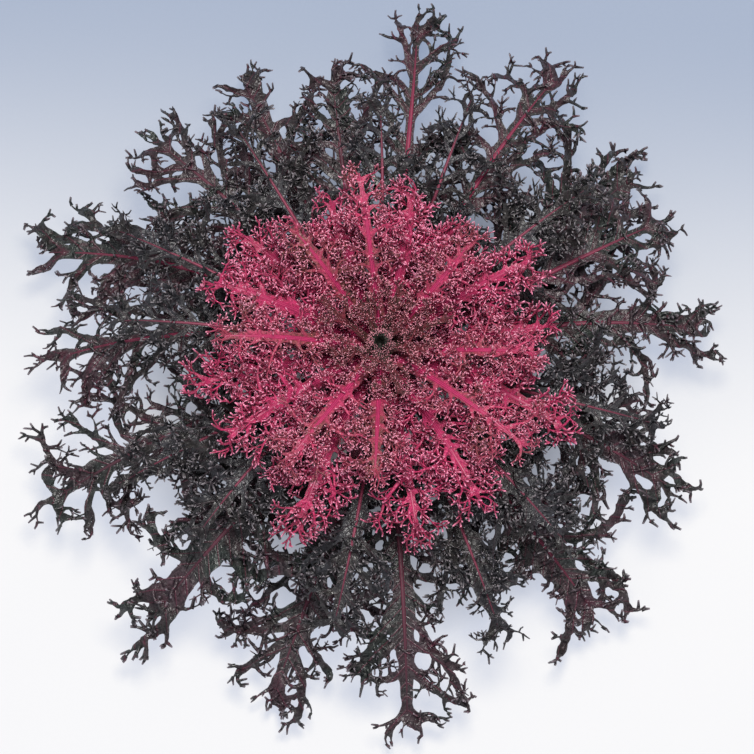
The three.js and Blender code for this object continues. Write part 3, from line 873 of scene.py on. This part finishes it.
def midrib(leaf):
    """The rib that runs along the strap, standing a little out of it."""
    root, half, tip, sides, flatness, groove, skin = RIBS[leaf.family]
    share = np.linspace(0, 0.97, 34)
    width = mix(root, half, smooth(0, 0.5, share)) + (tip - half) * smooth(0.5, 1, share)
    places = frilled(leaf, mix(leaf.root, leaf.tip, share), 0 * share, 0 * share)
    places[:, 2] += 0.36 + 0.15 * width * flatness  # out of the blade's upper face
    fade = 1 - leaf.pink * (1 - share**2.4)
    mesh = chains_of([len(share)], places, half_width=width * MM, lean=0 * width, fade=fade)
    settings = dict(Sides=sides, Flatness=flatness, Groove_depth=groove, Skin=RIB_SKINS[skin])
    return made_by(strip_tree, mesh, **settings)


# %% Arms, prongs and teeth that stand free
def free_ends(leaf, twigs, order, sides, flatness):
    """The twigs of one order of branching. They curl over more and more towards their tips."""
    rng = np.random.default_rng(40 + leaf.layer)
    chosen = [twig for twig in twigs if twig.order == order]
    lengths = [len(twig.path) for twig in chosen]
    u, v, width, lift = np.vstack([twig.path for twig in chosen]).T
    share = np.concatenate([np.linspace(0, 1, n) for n in lengths])
    curl = np.repeat(rng.normal(0, 0.8, len(chosen)), lengths)
    vein = np.repeat([twig.vein for twig in chosen], lengths) * (1 - 0.7 * share)
    # Each twig turns paler towards its end: on the magenta leaves their own pale tips, on the dark leaves
    # painted highlights.
    tip = share ** (2.5 - order / 2) * [0.2, 0.5, 1][order]
    columns = dict(half_width=width * MM, lean=curl * share, tip=tip, vein=vein, slant=slant_of(u, v))
    mesh = chains_of(lengths, frilled(leaf, u, v, lift), **columns)
    skin = SKINS[leaf.family]
    return made_by(strip_tree, mesh, Sides=sides, Flatness=flatness, Groove_depth=0.0, Skin=skin)


# %% [markdown]
# ## The fringe, with Geometry Nodes
#
# The last order of branching is a fringe of short fleshy sprigs that stand off the blade, with a pale bead at
# each end, which on the dark leaves is a painted highlight. They grow at every margin, in an edging along the
# strap, and as a carpet on the young leaves near the stalk. There are thousands of them, too many to model one
# by one. So a sprig has only forty faces, and a tree sets copies of six different ones at points that carry a
# direction and a size.


# %% Six sprigs
def sprig(seed):
    """A stem and three prongs, each a three-sided bar with a blunt end. About 4 mm tall, growing along +Z."""
    rng = np.random.default_rng(seed)
    # Each point carries how pale it is, 1 at the end of a prong: a pale tip, which on the dark leaves is a
    # painted highlight.
    points, faces, pale_ends_and_highlights = [], [], []

    def bar(start, end, near, far, beads):
        along = end - start
        side = np.cross(along, [0.3, 1, 0.2])
        side /= np.linalg.norm(side)
        other = np.cross(along / np.linalg.norm(along), side)
        turn = rng.uniform(0, 2)
        first = len(points)
        for centre, radius, bead in ((start, near, beads[0]), (start + 0.86 * along, far, beads[1])):
            for k in range(3):
                angle = turn + THIRD_TURN * k
                points.append(centre + radius * (math.cos(angle) * side + math.sin(angle) * other))
                pale_ends_and_highlights.append(bead)
        points.append(end)
        pale_ends_and_highlights.append(beads[1])
        for k in range(3):
            n = (k + 1) % 3
            faces.extend([(first + n, first + k, first + 3 + k), (first + n, first + 3 + k, first + 3 + n)])
            faces.append((first + 3 + n, first + 3 + k, first + 6))
        faces.append((first, first + 1, first + 2))

    fork = np.array([rng.uniform(-0.6, 0.6), rng.uniform(-0.6, 0.6), rng.uniform(1.8, 2.8)])
    bar(np.array([0, 0, -0.4]), fork * 1.08, 0.42, 0.36, (0, 0.1))
    facing = rng.uniform(0, 6.28)
    for k in range(3):
        angle, lean = facing + THIRD_TURN * k + rng.uniform(-0.4, 0.4), math.radians(rng.uniform(20, 66))
        way = np.array([math.cos(angle) * math.sin(lean), math.sin(angle) * math.sin(lean), math.cos(lean)])
        base = fork * rng.uniform(0.7, 1)
        bar(base, base + way * rng.uniform(1.8, 3.4), 0.31, 0.29, (0, 1))
    return mesh_of("sprig", np.array(points), np.array(faces), tip=pale_ends_and_highlights)


sprigs = bpy.data.collections.new("sprigs")
for seed in range(6):
    sprigs.objects.link(bpy.data.objects.new(f"sprig_{seed}", sprig(seed)))

# %% The fringe tree
fringe_tree, given = growing_tree("Fringe", [
    ("Sprigs", "Collection", None),
    ("Breadth", "Float", 1.0),
    ("Thickness", "Float", 1.0),
    ("Seed", "Int", 1),
    ("Skin", "Material", None),
])
aim = add(fringe_tree, "GeometryNodeInputNamedAttribute", {"Name": "aim"}, data_type="FLOAT_VECTOR")
size = add(fringe_tree, "GeometryNodeInputNamedAttribute", {"Name": "size"}, data_type="FLOAT")
upright = add(fringe_tree, "FunctionNodeAlignRotationToVector", {"Vector": aim}, axis="Z")
any_turn = {"Max": FULL_TURN, "Seed": given["Seed"]}
spin = add(fringe_tree, "FunctionNodeRandomValue", any_turn, data_type="FLOAT")
about = add(fringe_tree, "FunctionNodeAxisAngleToRotation", {"Axis": (0, 0, 1), "Angle": spin})
turned = add(
    fringe_tree,
    "FunctionNodeRotateRotation",
    {"Rotation": upright, "Rotate By": about},
    rotation_space="LOCAL",
)
build = add(fringe_tree, "ShaderNodeCombineXYZ", {"X": given["Breadth"], "Y": given["Thickness"], "Z": 1.0})
scaled = add(fringe_tree, "ShaderNodeVectorMath", {0: build, "Scale": size}, operation="SCALE")
source = add(
    fringe_tree,
    "GeometryNodeCollectionInfo",
    {"Collection": given["Sprigs"], "Separate Children": True, "Reset Children": True},
)
spots = {"Points": given["Geometry"], "Rotation": turned, "Scale": scaled}
copies = {"Instance": source, "Pick Instance": True}
placed = add(fringe_tree, "GeometryNodeInstanceOnPoints", spots | copies)
end_tree(fringe_tree, placed, given["Skin"])

# %% Where the sprigs stand on a leaf
# How many stand at the margins, their size, breadth and thickness, how far they stand up, and between which
# shares of the leaf. Then how many stand on the blade itself, as far as which radius in mm, and how many in
# the edging along the strap.
STAND = "most size breadth thickness up along carpet radius edging".split()
FRINGES = dict(
    outer=(85, (0.9, 2.0), 1.3, 0.8, (0.1, 1), (0.25, 0.9), 0, 0, 0),
    middle=(130, (1.0, 1.9), 1.3, 0.8, (0.2, 1.3), (0.35, 1), 0, 0, 12),
    crown=(112, (1.0, 1.8), 0.95, 0.95, (0.15, 1.2), (0.25, 1.1), 22, 42, 44),
    inner=(110, (0.8, 1.4), 0.95, 0.95, (0.2, 1.3), (0.18, 1.1), 26, 30, 34),
    heart=(56, (0.45, 0.85), 0.9, 0.9, (0.4, 1.4), (0.1, 1.1), 36, 30, 0),
)
FRINGES = {name: Kind(**dict(zip(STAND, row))) for name, row in FRINGES.items()}


def planted(here, aim, size, family, seed):
    """Sprigs of one family's breadth and skin, at places in millimetres."""
    mesh = bpy.data.meshes.new("spots")
    mesh.from_pydata((here * MM).tolist(), [], [])
    aims = mesh.attributes.new("aim", "FLOAT_VECTOR", "POINT")
    aims.data.foreach_set("vector", aim.astype(np.float32).ravel())
    mark(mesh, size=size)
    rule = FRINGES[family]
    return made_by(
        fringe_tree, mesh, Sprigs=sprigs, Breadth=rule.breadth, Thickness=rule.thickness,
        Seed=seed, Skin=SKINS[family],
    )


def fringe(leaf, twigs):
    """All sprigs of one leaf."""
    rule = FRINGES[leaf.family]
    rng = np.random.default_rng(90 + leaf.layer)
    most = round(rule.most * mix(0.5, 1.3, leaf.breadth))
    steps = [(*a, *b) for twig in twigs if 0 <= twig.order < 2 for a, b in zip(twig.path, twig.path[1:])]
    near, far = (mix(leaf.root, leaf.tip, share) for share in rule.along)
    steps = np.array([step for step in steps if near < step[0] < far])
    steps = steps[rng.integers(0, len(steps), most)]
    share, side = rng.uniform(size=most), rng.choice([-1, 1], most)
    u, v, width, lift = mix(steps[:, 0:4], steps[:, 4:8], share[:, None]).T
    heading = np.arctan2(steps[:, 5] - steps[:, 1], steps[:, 4] - steps[:, 0])
    off = side * width * rng.uniform(0.3, 0.9, most)
    u, v = u - off * np.sin(heading), v + off * np.cos(heading)
    heading = heading + side * rng.uniform(0.3, 1.4, most)
    up = rng.uniform(*rule.up, most)
    clear = np.abs(v) > 0.8 * leaf.strap  # the midrib stays bare
    u, v, lift, heading, up = (values[clear] for values in (u, v, lift, heading, up))

    # The carpet on the blade near the stalk, and the edging along both sides of the strap.
    spread, edging = rng.uniform(size=rule.carpet), rng.uniform(0.18, 0.9, rule.edging)
    carpet = mix(leaf.root + 0.5, min(rule.radius, leaf.tip), spread)
    along = np.append(carpet, mix(leaf.root, leaf.tip, edging))
    sides = rng.choice([-1, 1], rule.edging)
    across = np.append(rng.uniform(-1, 1, rule.carpet), sides * rng.uniform(0.75, 1.35, rule.edging))
    across *= strap_half_width(leaf, (along - leaf.root) / (leaf.tip - leaf.root))
    u, v, lift = np.append(u, along), np.append(v, across), np.append(lift, 0 * along)
    outward = np.append(rng.uniform(-1.5, 1.5, rule.carpet), sides * rng.uniform(0.2, 1.6, rule.edging))
    heading = np.append(heading, outward)
    up = np.concatenate([up, rng.uniform(0.8, 3, rule.carpet), rng.uniform(0.3, 1.6, rule.edging)])

    here = frilled(leaf, u, v, lift)
    ahead = frilled(leaf, u + 0.5 * np.cos(heading), v + 0.5 * np.sin(heading), lift) - here
    aim = ahead / np.linalg.norm(ahead, axis=1, keepdims=True) + np.stack([0 * up, 0 * up, up], -1)
    return planted(here, aim, rng.uniform(*rule.size, len(u)), leaf.family, leaf.layer)


# %% [markdown]
# ## Growing the head
#
# Blade, ribs and fringe of a leaf are one living thing, so they are joined to one piece, which takes the
# place of the leaf's plain solid. Each piece rides on the only body that the head has.


# %% Joining the parts of a piece
def joined(name, meshes):
    """One object of all these meshes, each with its own material and the attributes of all."""
    objects = [stand(name, mesh) for mesh in meshes]
    with bpy.context.temp_override(active_object=objects[0], selected_editable_objects=objects):
        bpy.ops.object.join()
    objects[0].name = f"{name}_grown"
    return objects[0]


def parts_of(leaf):
    """Blade, midrib, twigs of each order and fringe of one leaf, as meshes."""
    twigs = bones[leaf.layer]
    skin = blade(leaf, twigs)
    skin.materials.append(SKINS[leaf.family])
    parts = dict(blades=skin, midribs=midrib(leaf))
    if leaf.family not in DARK:
        parts["arms"] = free_ends(leaf, twigs, 0, 6, 0.6)
    parts["prongs"] = free_ends(leaf, twigs, 1, 4 if leaf.family == "outer" else 3, 0.5)
    parts["teeth"] = free_ends(leaf, twigs, 2, 3, 0.65)
    parts["fringes"] = fringe(leaf, twigs)
    for label, part in parts.items():
        census[f"{leaf.family} {label}"] += triangles_in(part)
    return list(parts.values())


def hand_in(piece, node):
    """Puts a finished piece in the place of its CAD node."""
    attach(piece, "root")
    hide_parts(node)
    family = node.split("_")[0]
    totals[family] += triangles_in(piece.data)
    tops[family] = max(tops[family], max(corner[2] for corner in piece.bound_box) / MM)


# %% All leaves but the heart's
SLOTS = dict(outer="dark_leaf", middle="dusky_leaf", crown="magenta_leaf", inner="magenta_leaf")
census, totals, tops = Counter(), Counter(), Counter()
for leaf in leaves:
    if leaf.family in SLOTS:
        hand_in(joined(leaf.node, parts_of(leaf)), leaf.node)
print("triangles:", dict(totals))
print(dict(census))

# %% [markdown]
# ## The heart
#
# In the middle the leaves haven't opened yet. The nine smallest stand round a bud, and all of it is one piece.
# The bud is a small cup of folded leaves with a fringe on its rim and sides. It is open at the top, and the
# hollow in it makes the middle of the head dark, helped by the cup's nearly black colour, which is painted
# shade. The cup, like the stalk later on, is a tube: rings of points one above another, closed with a fan of
# triangles at each end.


# %% A closed tube of rings
def round_axis(radius, angle, height):
    """Points at these distances from the stalk's axis, azimuths and heights."""
    return np.stack([radius * np.cos(angle), radius * np.sin(angle), height], -1)


def closed_tube(name, rings, foot, top):
    """A mesh of rings of points in millimetres, closed to one point at each end."""
    rows, around = rings.shape[:2]
    faces, last = [], (rows - 1) * around
    for start in range(0, last, around):
        for i in range(around):
            a, b = start + i, start + (i + 1) % around
            faces += [(a, b, b + around), (a, b + around, a + around)]
    foot_index = rows * around
    for i in range(around):
        n = (i + 1) % around
        faces += [(n, i, foot_index), (last + i, last + n, foot_index + 1)]
    return mesh_of(name, np.vstack([rings.reshape(-1, 3), [foot], [top]]), np.array(faces))


# %% The bud
def bud_parts():
    """The cup round its hollow, and its fringe."""
    angle = np.linspace(0, 2 * math.pi, 40, endpoint=False)
    # Radius and height of each ring: up the outside, over the rim, and down into the hollow.
    profile = [(6.2, 0.3), (6.0, 5), (5.4, 9), (4.8, 12), (3.8, 13.6)]
    profile += [(2.8, 13.7), (2.1, 12), (1.6, 9), (0.9, 6)]
    rings = []
    for radius, height in profile:
        pleat = 1 + 0.12 * np.sin(7 * angle + height * 0.5) * (height > 4)
        rise = STALK_HEIGHT + height + 0.7 * np.sin(7 * angle + 1) * (height > 11)
        rings.append(round_axis(radius * pleat, angle, rise))
    foot, hollow = [0, 0, STALK_HEIGHT + 0.3], [0, 0, STALK_HEIGHT + 5.4]
    cup = closed_tube("cup", np.stack(rings), foot, hollow)
    unmarked = np.zeros(len(cup.vertices))
    mark(cup, vein=unmarked, tip=unmarked)
    # The whole cup is painted nearly black: painted shade of its hollow.
    cup.materials.append(SKINS["hollow"])

    rng, count = np.random.default_rng(3), 190
    turn, height = rng.uniform(0, FULL_TURN, count), rng.uniform(5, 14, count)
    radius = np.interp(height, [5, 9, 12, 14], [6.0, 5.4, 4.9, 3.7]) * rng.uniform(0.7, 1, count)
    here = round_axis(radius, turn, STALK_HEIGHT + height)
    out = rng.uniform(0.2, 1.2, count) * np.where(height > 12.5, 0.5, 1)
    aim = round_axis(out, turn + 0.3, np.ones(count))
    return [cup, planted(here, aim, rng.uniform(0.4, 0.75, count), "heart", 1)]


# %% The heart in one piece
parts = [part for leaf in leaves if leaf.family == "heart" for part in parts_of(leaf)]
hand_in(joined("heart", [*bud_parts(), *parts]), "heart")
print("the heart has", totals["heart"], "triangles")

# %% [markdown]
# ## The stalk
#
# The stalk is cut square below the leaves. Its skin is pale green with corky scars where lower leaves have
# been taken off, and the cut shows a ring of wood round a soft pith. The scars are raised in the mesh,
# because they show at the stalk's outline. The colours are told apart by height and distance from the middle.


# %% The stalk's form
def stalk_mesh():
    angle = np.linspace(0, 2 * math.pi, 72, endpoint=False)[None, :]
    z = np.linspace(0.8, STALK_HEIGHT, 40)[:, None]
    radius = stalk_radius(z) * (1 + 0.02 * np.sin(5 * angle + z / 9)) + 0 * angle
    # Each scar is an oval of 9 by 3.6 mm with a raised rim round a shallow dish.
    for layer in range(-6, 4):
        turn, height = math.radians(FIRST_AZIMUTH + GOLDEN_ANGLE * layer), joint_height(layer) - 1
        away = (angle - turn + math.pi) % (2 * math.pi) - math.pi
        spot = (away * 12 / 4.5) ** 2 + ((z - height) / 1.8) ** 2
        radius = radius + 0.5 * np.exp(-((spot - 1) ** 2) * 3) - 0.25 * np.exp(-(spot**2) * 2)
    radius = np.minimum(radius, stalk_radius(z) + 0.25)
    rings = [round_axis(radius, angle, z + 0 * angle)]
    # The cut edge is a little rounded, and the cut itself is flat.
    for share, height in ((0.97, 0.25), (0.94, 0.0), (0.6, 0.0), (0.3, 0.0)):
        rings.insert(0, round_axis(radius[0:1] * share, angle, height + 0 * angle))
    return closed_tube("stalk", np.vstack(rings), [0, 0, 0], [0, 0, STALK_HEIGHT])


# %% The stalk's skin
# Young bark over wood and pith: dull green with tan flecks outside, cream with a darker ring at the cut.
stalk_skin, tree, place = bare_material("stalk skin and pith")
x, y, z = add(tree, "ShaderNodeSeparateXYZ", {0: place}).outputs
flat = add(tree, "ShaderNodeCombineXYZ", {"X": x, "Y": y})
radius = add(tree, "ShaderNodeVectorMath", {0: flat}, operation="LENGTH")
cork = add(tree, "ShaderNodeTexNoise", {"Vector": place, "Scale": 1 / (5 * MM), "Detail": 5.0})
wood = add(tree, "ShaderNodeMapRange", {"Value": radius, "From Min": 8 * MM, "From Max": 9.5 * MM})
rings = add(tree, "ShaderNodeMix", {0: wood, 6: colour("#dfe0c0"), 7: colour("#c3c795")}, data_type="RGBA")
low = add(tree, "ShaderNodeMapRange", {"Value": z, "From Min": 0.1 * MM, "From Max": 0.4 * MM})
bark = add(tree, "ShaderNodeMix", {0: cork, 6: colour("#8f9a68"), 7: colour("#b2a38a")}, data_type="RGBA")
whole = add(tree, "ShaderNodeMix", {0: low, 6: rings, 7: bark}, data_type="RGBA")
rough = add(tree, "ShaderNodeMapRange", {"Value": cork, "To Min": 0.5, "To Max": 0.8})
bump = add(tree, "ShaderNodeBump", {"Height": cork, "Strength": 0.5, "Distance": 0.5 * MM})
feed(tree, tree.nodes["Principled BSDF"], {"Base Color": whole, "Roughness": rough, "Normal": bump})

# %% The stalk in its place
stalk = stand("stalk_grown", stalk_mesh())
stalk.data.materials.append(stalk_skin)
hand_in(stalk, "stalk")
print("triangles in all:", sum(totals.values()))
print("highest point of each family in mm:", {name: round(top, 1) for name, top in tops.items()})

# %% [markdown]
# ## The studio
#
# The head stands on a wide pale sheet whose colour runs from blue-grey behind it to white in front. A large
# soft light stands above and a little behind, a weaker one fills from the front, and a bluish sky keeps the
# shadows cool. The sheet also glows a little by itself. That glow is painted light: it lifts the sheet's
# shadows and holds it pale without a lamp so strong that it would wash out the leaves. Under the head the glow
# is cut down, a painted shadow that keeps the head's shadow dark. The camera looks almost straight down through
# a long lens.

# %% The floor
# Matt paper: a warm base colour that the cool painted glow turns neutral where the key light falls, so that its
# shadows come out bluish, and fibres, drawn 1.5 mm wide to show at all, that break up any gloss.
floor_mesh = bpy.data.meshes.new("floor")
floor_mesh.from_pydata([(-3, -3, 0), (3, -3, 0), (3, 3, 0), (-3, 3, 0)], [], [(0, 1, 2, 3)])
floor = stand("floor", floor_mesh)
paper, tree, place = bare_material("pale studio paper")
x, y, z = add(tree, "ShaderNodeSeparateXYZ", {0: place}).outputs
across = add(tree, "ShaderNodeMath", {0: x, 1: 0.08, 2: y}, operation="MULTIPLY_ADD")
run = add(
    tree,
    "ShaderNodeMapRange",
    {"Value": across, "From Min": -60 * MM, "From Max": 210 * MM},
    interpolation_type="SMOOTHSTEP",
)
wash = add(tree, "ShaderNodeMix", {0: run, 6: colour("#867e68"), 7: colour("#575858")}, data_type="RGBA")
# Painted fill light: the sheet glows by itself, bluer behind, which lifts the shadows on it and tints them
# blue.
painted_fill_glow = add(tree, "ShaderNodeMix", {0: run, 6: colour("#c4cbdc"), 7: colour("#8393af")}, data_type="RGBA")
fibre = add(tree, "ShaderNodeTexNoise", {"Vector": place, "Scale": 1 / (1.5 * MM), "Detail": 2.0})
rough = add(tree, "ShaderNodeMapRange", {"Value": fibre, "To Min": 0.7, "To Max": 0.9})
radius = add(tree, "ShaderNodeVectorMath", {0: place}, operation="LENGTH")
# The glow falls to a tenth under the head, from 140 mm in to 60 mm from the axis: a painted shadow.
glow_outside_painted_shadow = add(
    tree, "ShaderNodeMapRange", {"Value": radius, "From Min": 60 * MM, "From Max": 140 * MM, "To Min": 0.1}
)
feed(tree, tree.nodes["Principled BSDF"], {
    "Base Color": wash, "Roughness": rough, "Emission Color": painted_fill_glow, "Emission Strength": glow_outside_painted_shadow,
})
floor_mesh.materials.append(paper)


# %% The lights
def aim_at(thing, place, target):
    """Puts a light or the camera somewhere and turns its -Z to the target, with +Y as upright as it goes."""
    back = np.array(place, float) - np.array(target, float)
    back /= np.linalg.norm(back)
    right = np.cross([0, 1, 0] if abs(back[2]) > 0.999 else [0, 0, 1], back)
    right /= np.linalg.norm(right)
    up = np.cross(back, right)
    rows = [[right[i], up[i], back[i], place[i]] for i in range(3)] + [[0, 0, 0, 1]]
    thing.matrix_world = Matrix(rows)


def soft_light(name, place, target, side, watts, tint):
    """A round lamp this many metres wide, turned to the target."""
    lamp = bpy.data.lights.new(name, "AREA")
    lamp.shape, lamp.size, lamp.energy, lamp.color = "DISK", side, watts, colour(tint)[:3]
    aim_at(stand(name, lamp), place, target)


soft_light("key", (0.1, 0.24, 1.65), (0, 0, 0.03), 0.6, 34, "#fffdfa")
soft_light("fill", (-0.5, -0.9, 1.2), (0, 0, 0.03), 1.2, 4, "#f0f2ff")
world = bpy.data.worlds.new("studio")
world.use_nodes = True
world.node_tree.nodes["Background"].inputs[0].default_value = colour("#e2e4ee")
world.node_tree.nodes["Background"].inputs[1].default_value = 0.46
bpy.context.scene.world = world
bpy.context.scene.view_settings.view_transform = "Standard"

# %% The camera
ELEVATION, DISTANCE, HEIGHT = math.radians(78), 2.4, 0.05
SENSOR, FIELD = 36.0, 0.377  # mm across the sensor, and metres across the frame at half the head's height
target = np.array([-0.0015, (-0.002 - HEIGHT * math.cos(ELEVATION)) / math.sin(ELEVATION), HEIGHT])
lens = bpy.data.cameras.new("camera")
lens.sensor_width = SENSOR
lens.lens = SENSOR * DISTANCE / FIELD
camera = stand("camera", lens)
aim_at(camera, target + DISTANCE * np.array([0, -math.cos(ELEVATION), math.sin(ELEVATION)]), target)
bpy.context.scene.camera = camera
print("lens in mm:", round(lens.lens, 1))

# %% Clearing away the sprigs, and the end
for thing in list(sprigs.objects):
    bpy.data.objects.remove(thing)
bpy.data.collections.remove(sprigs)
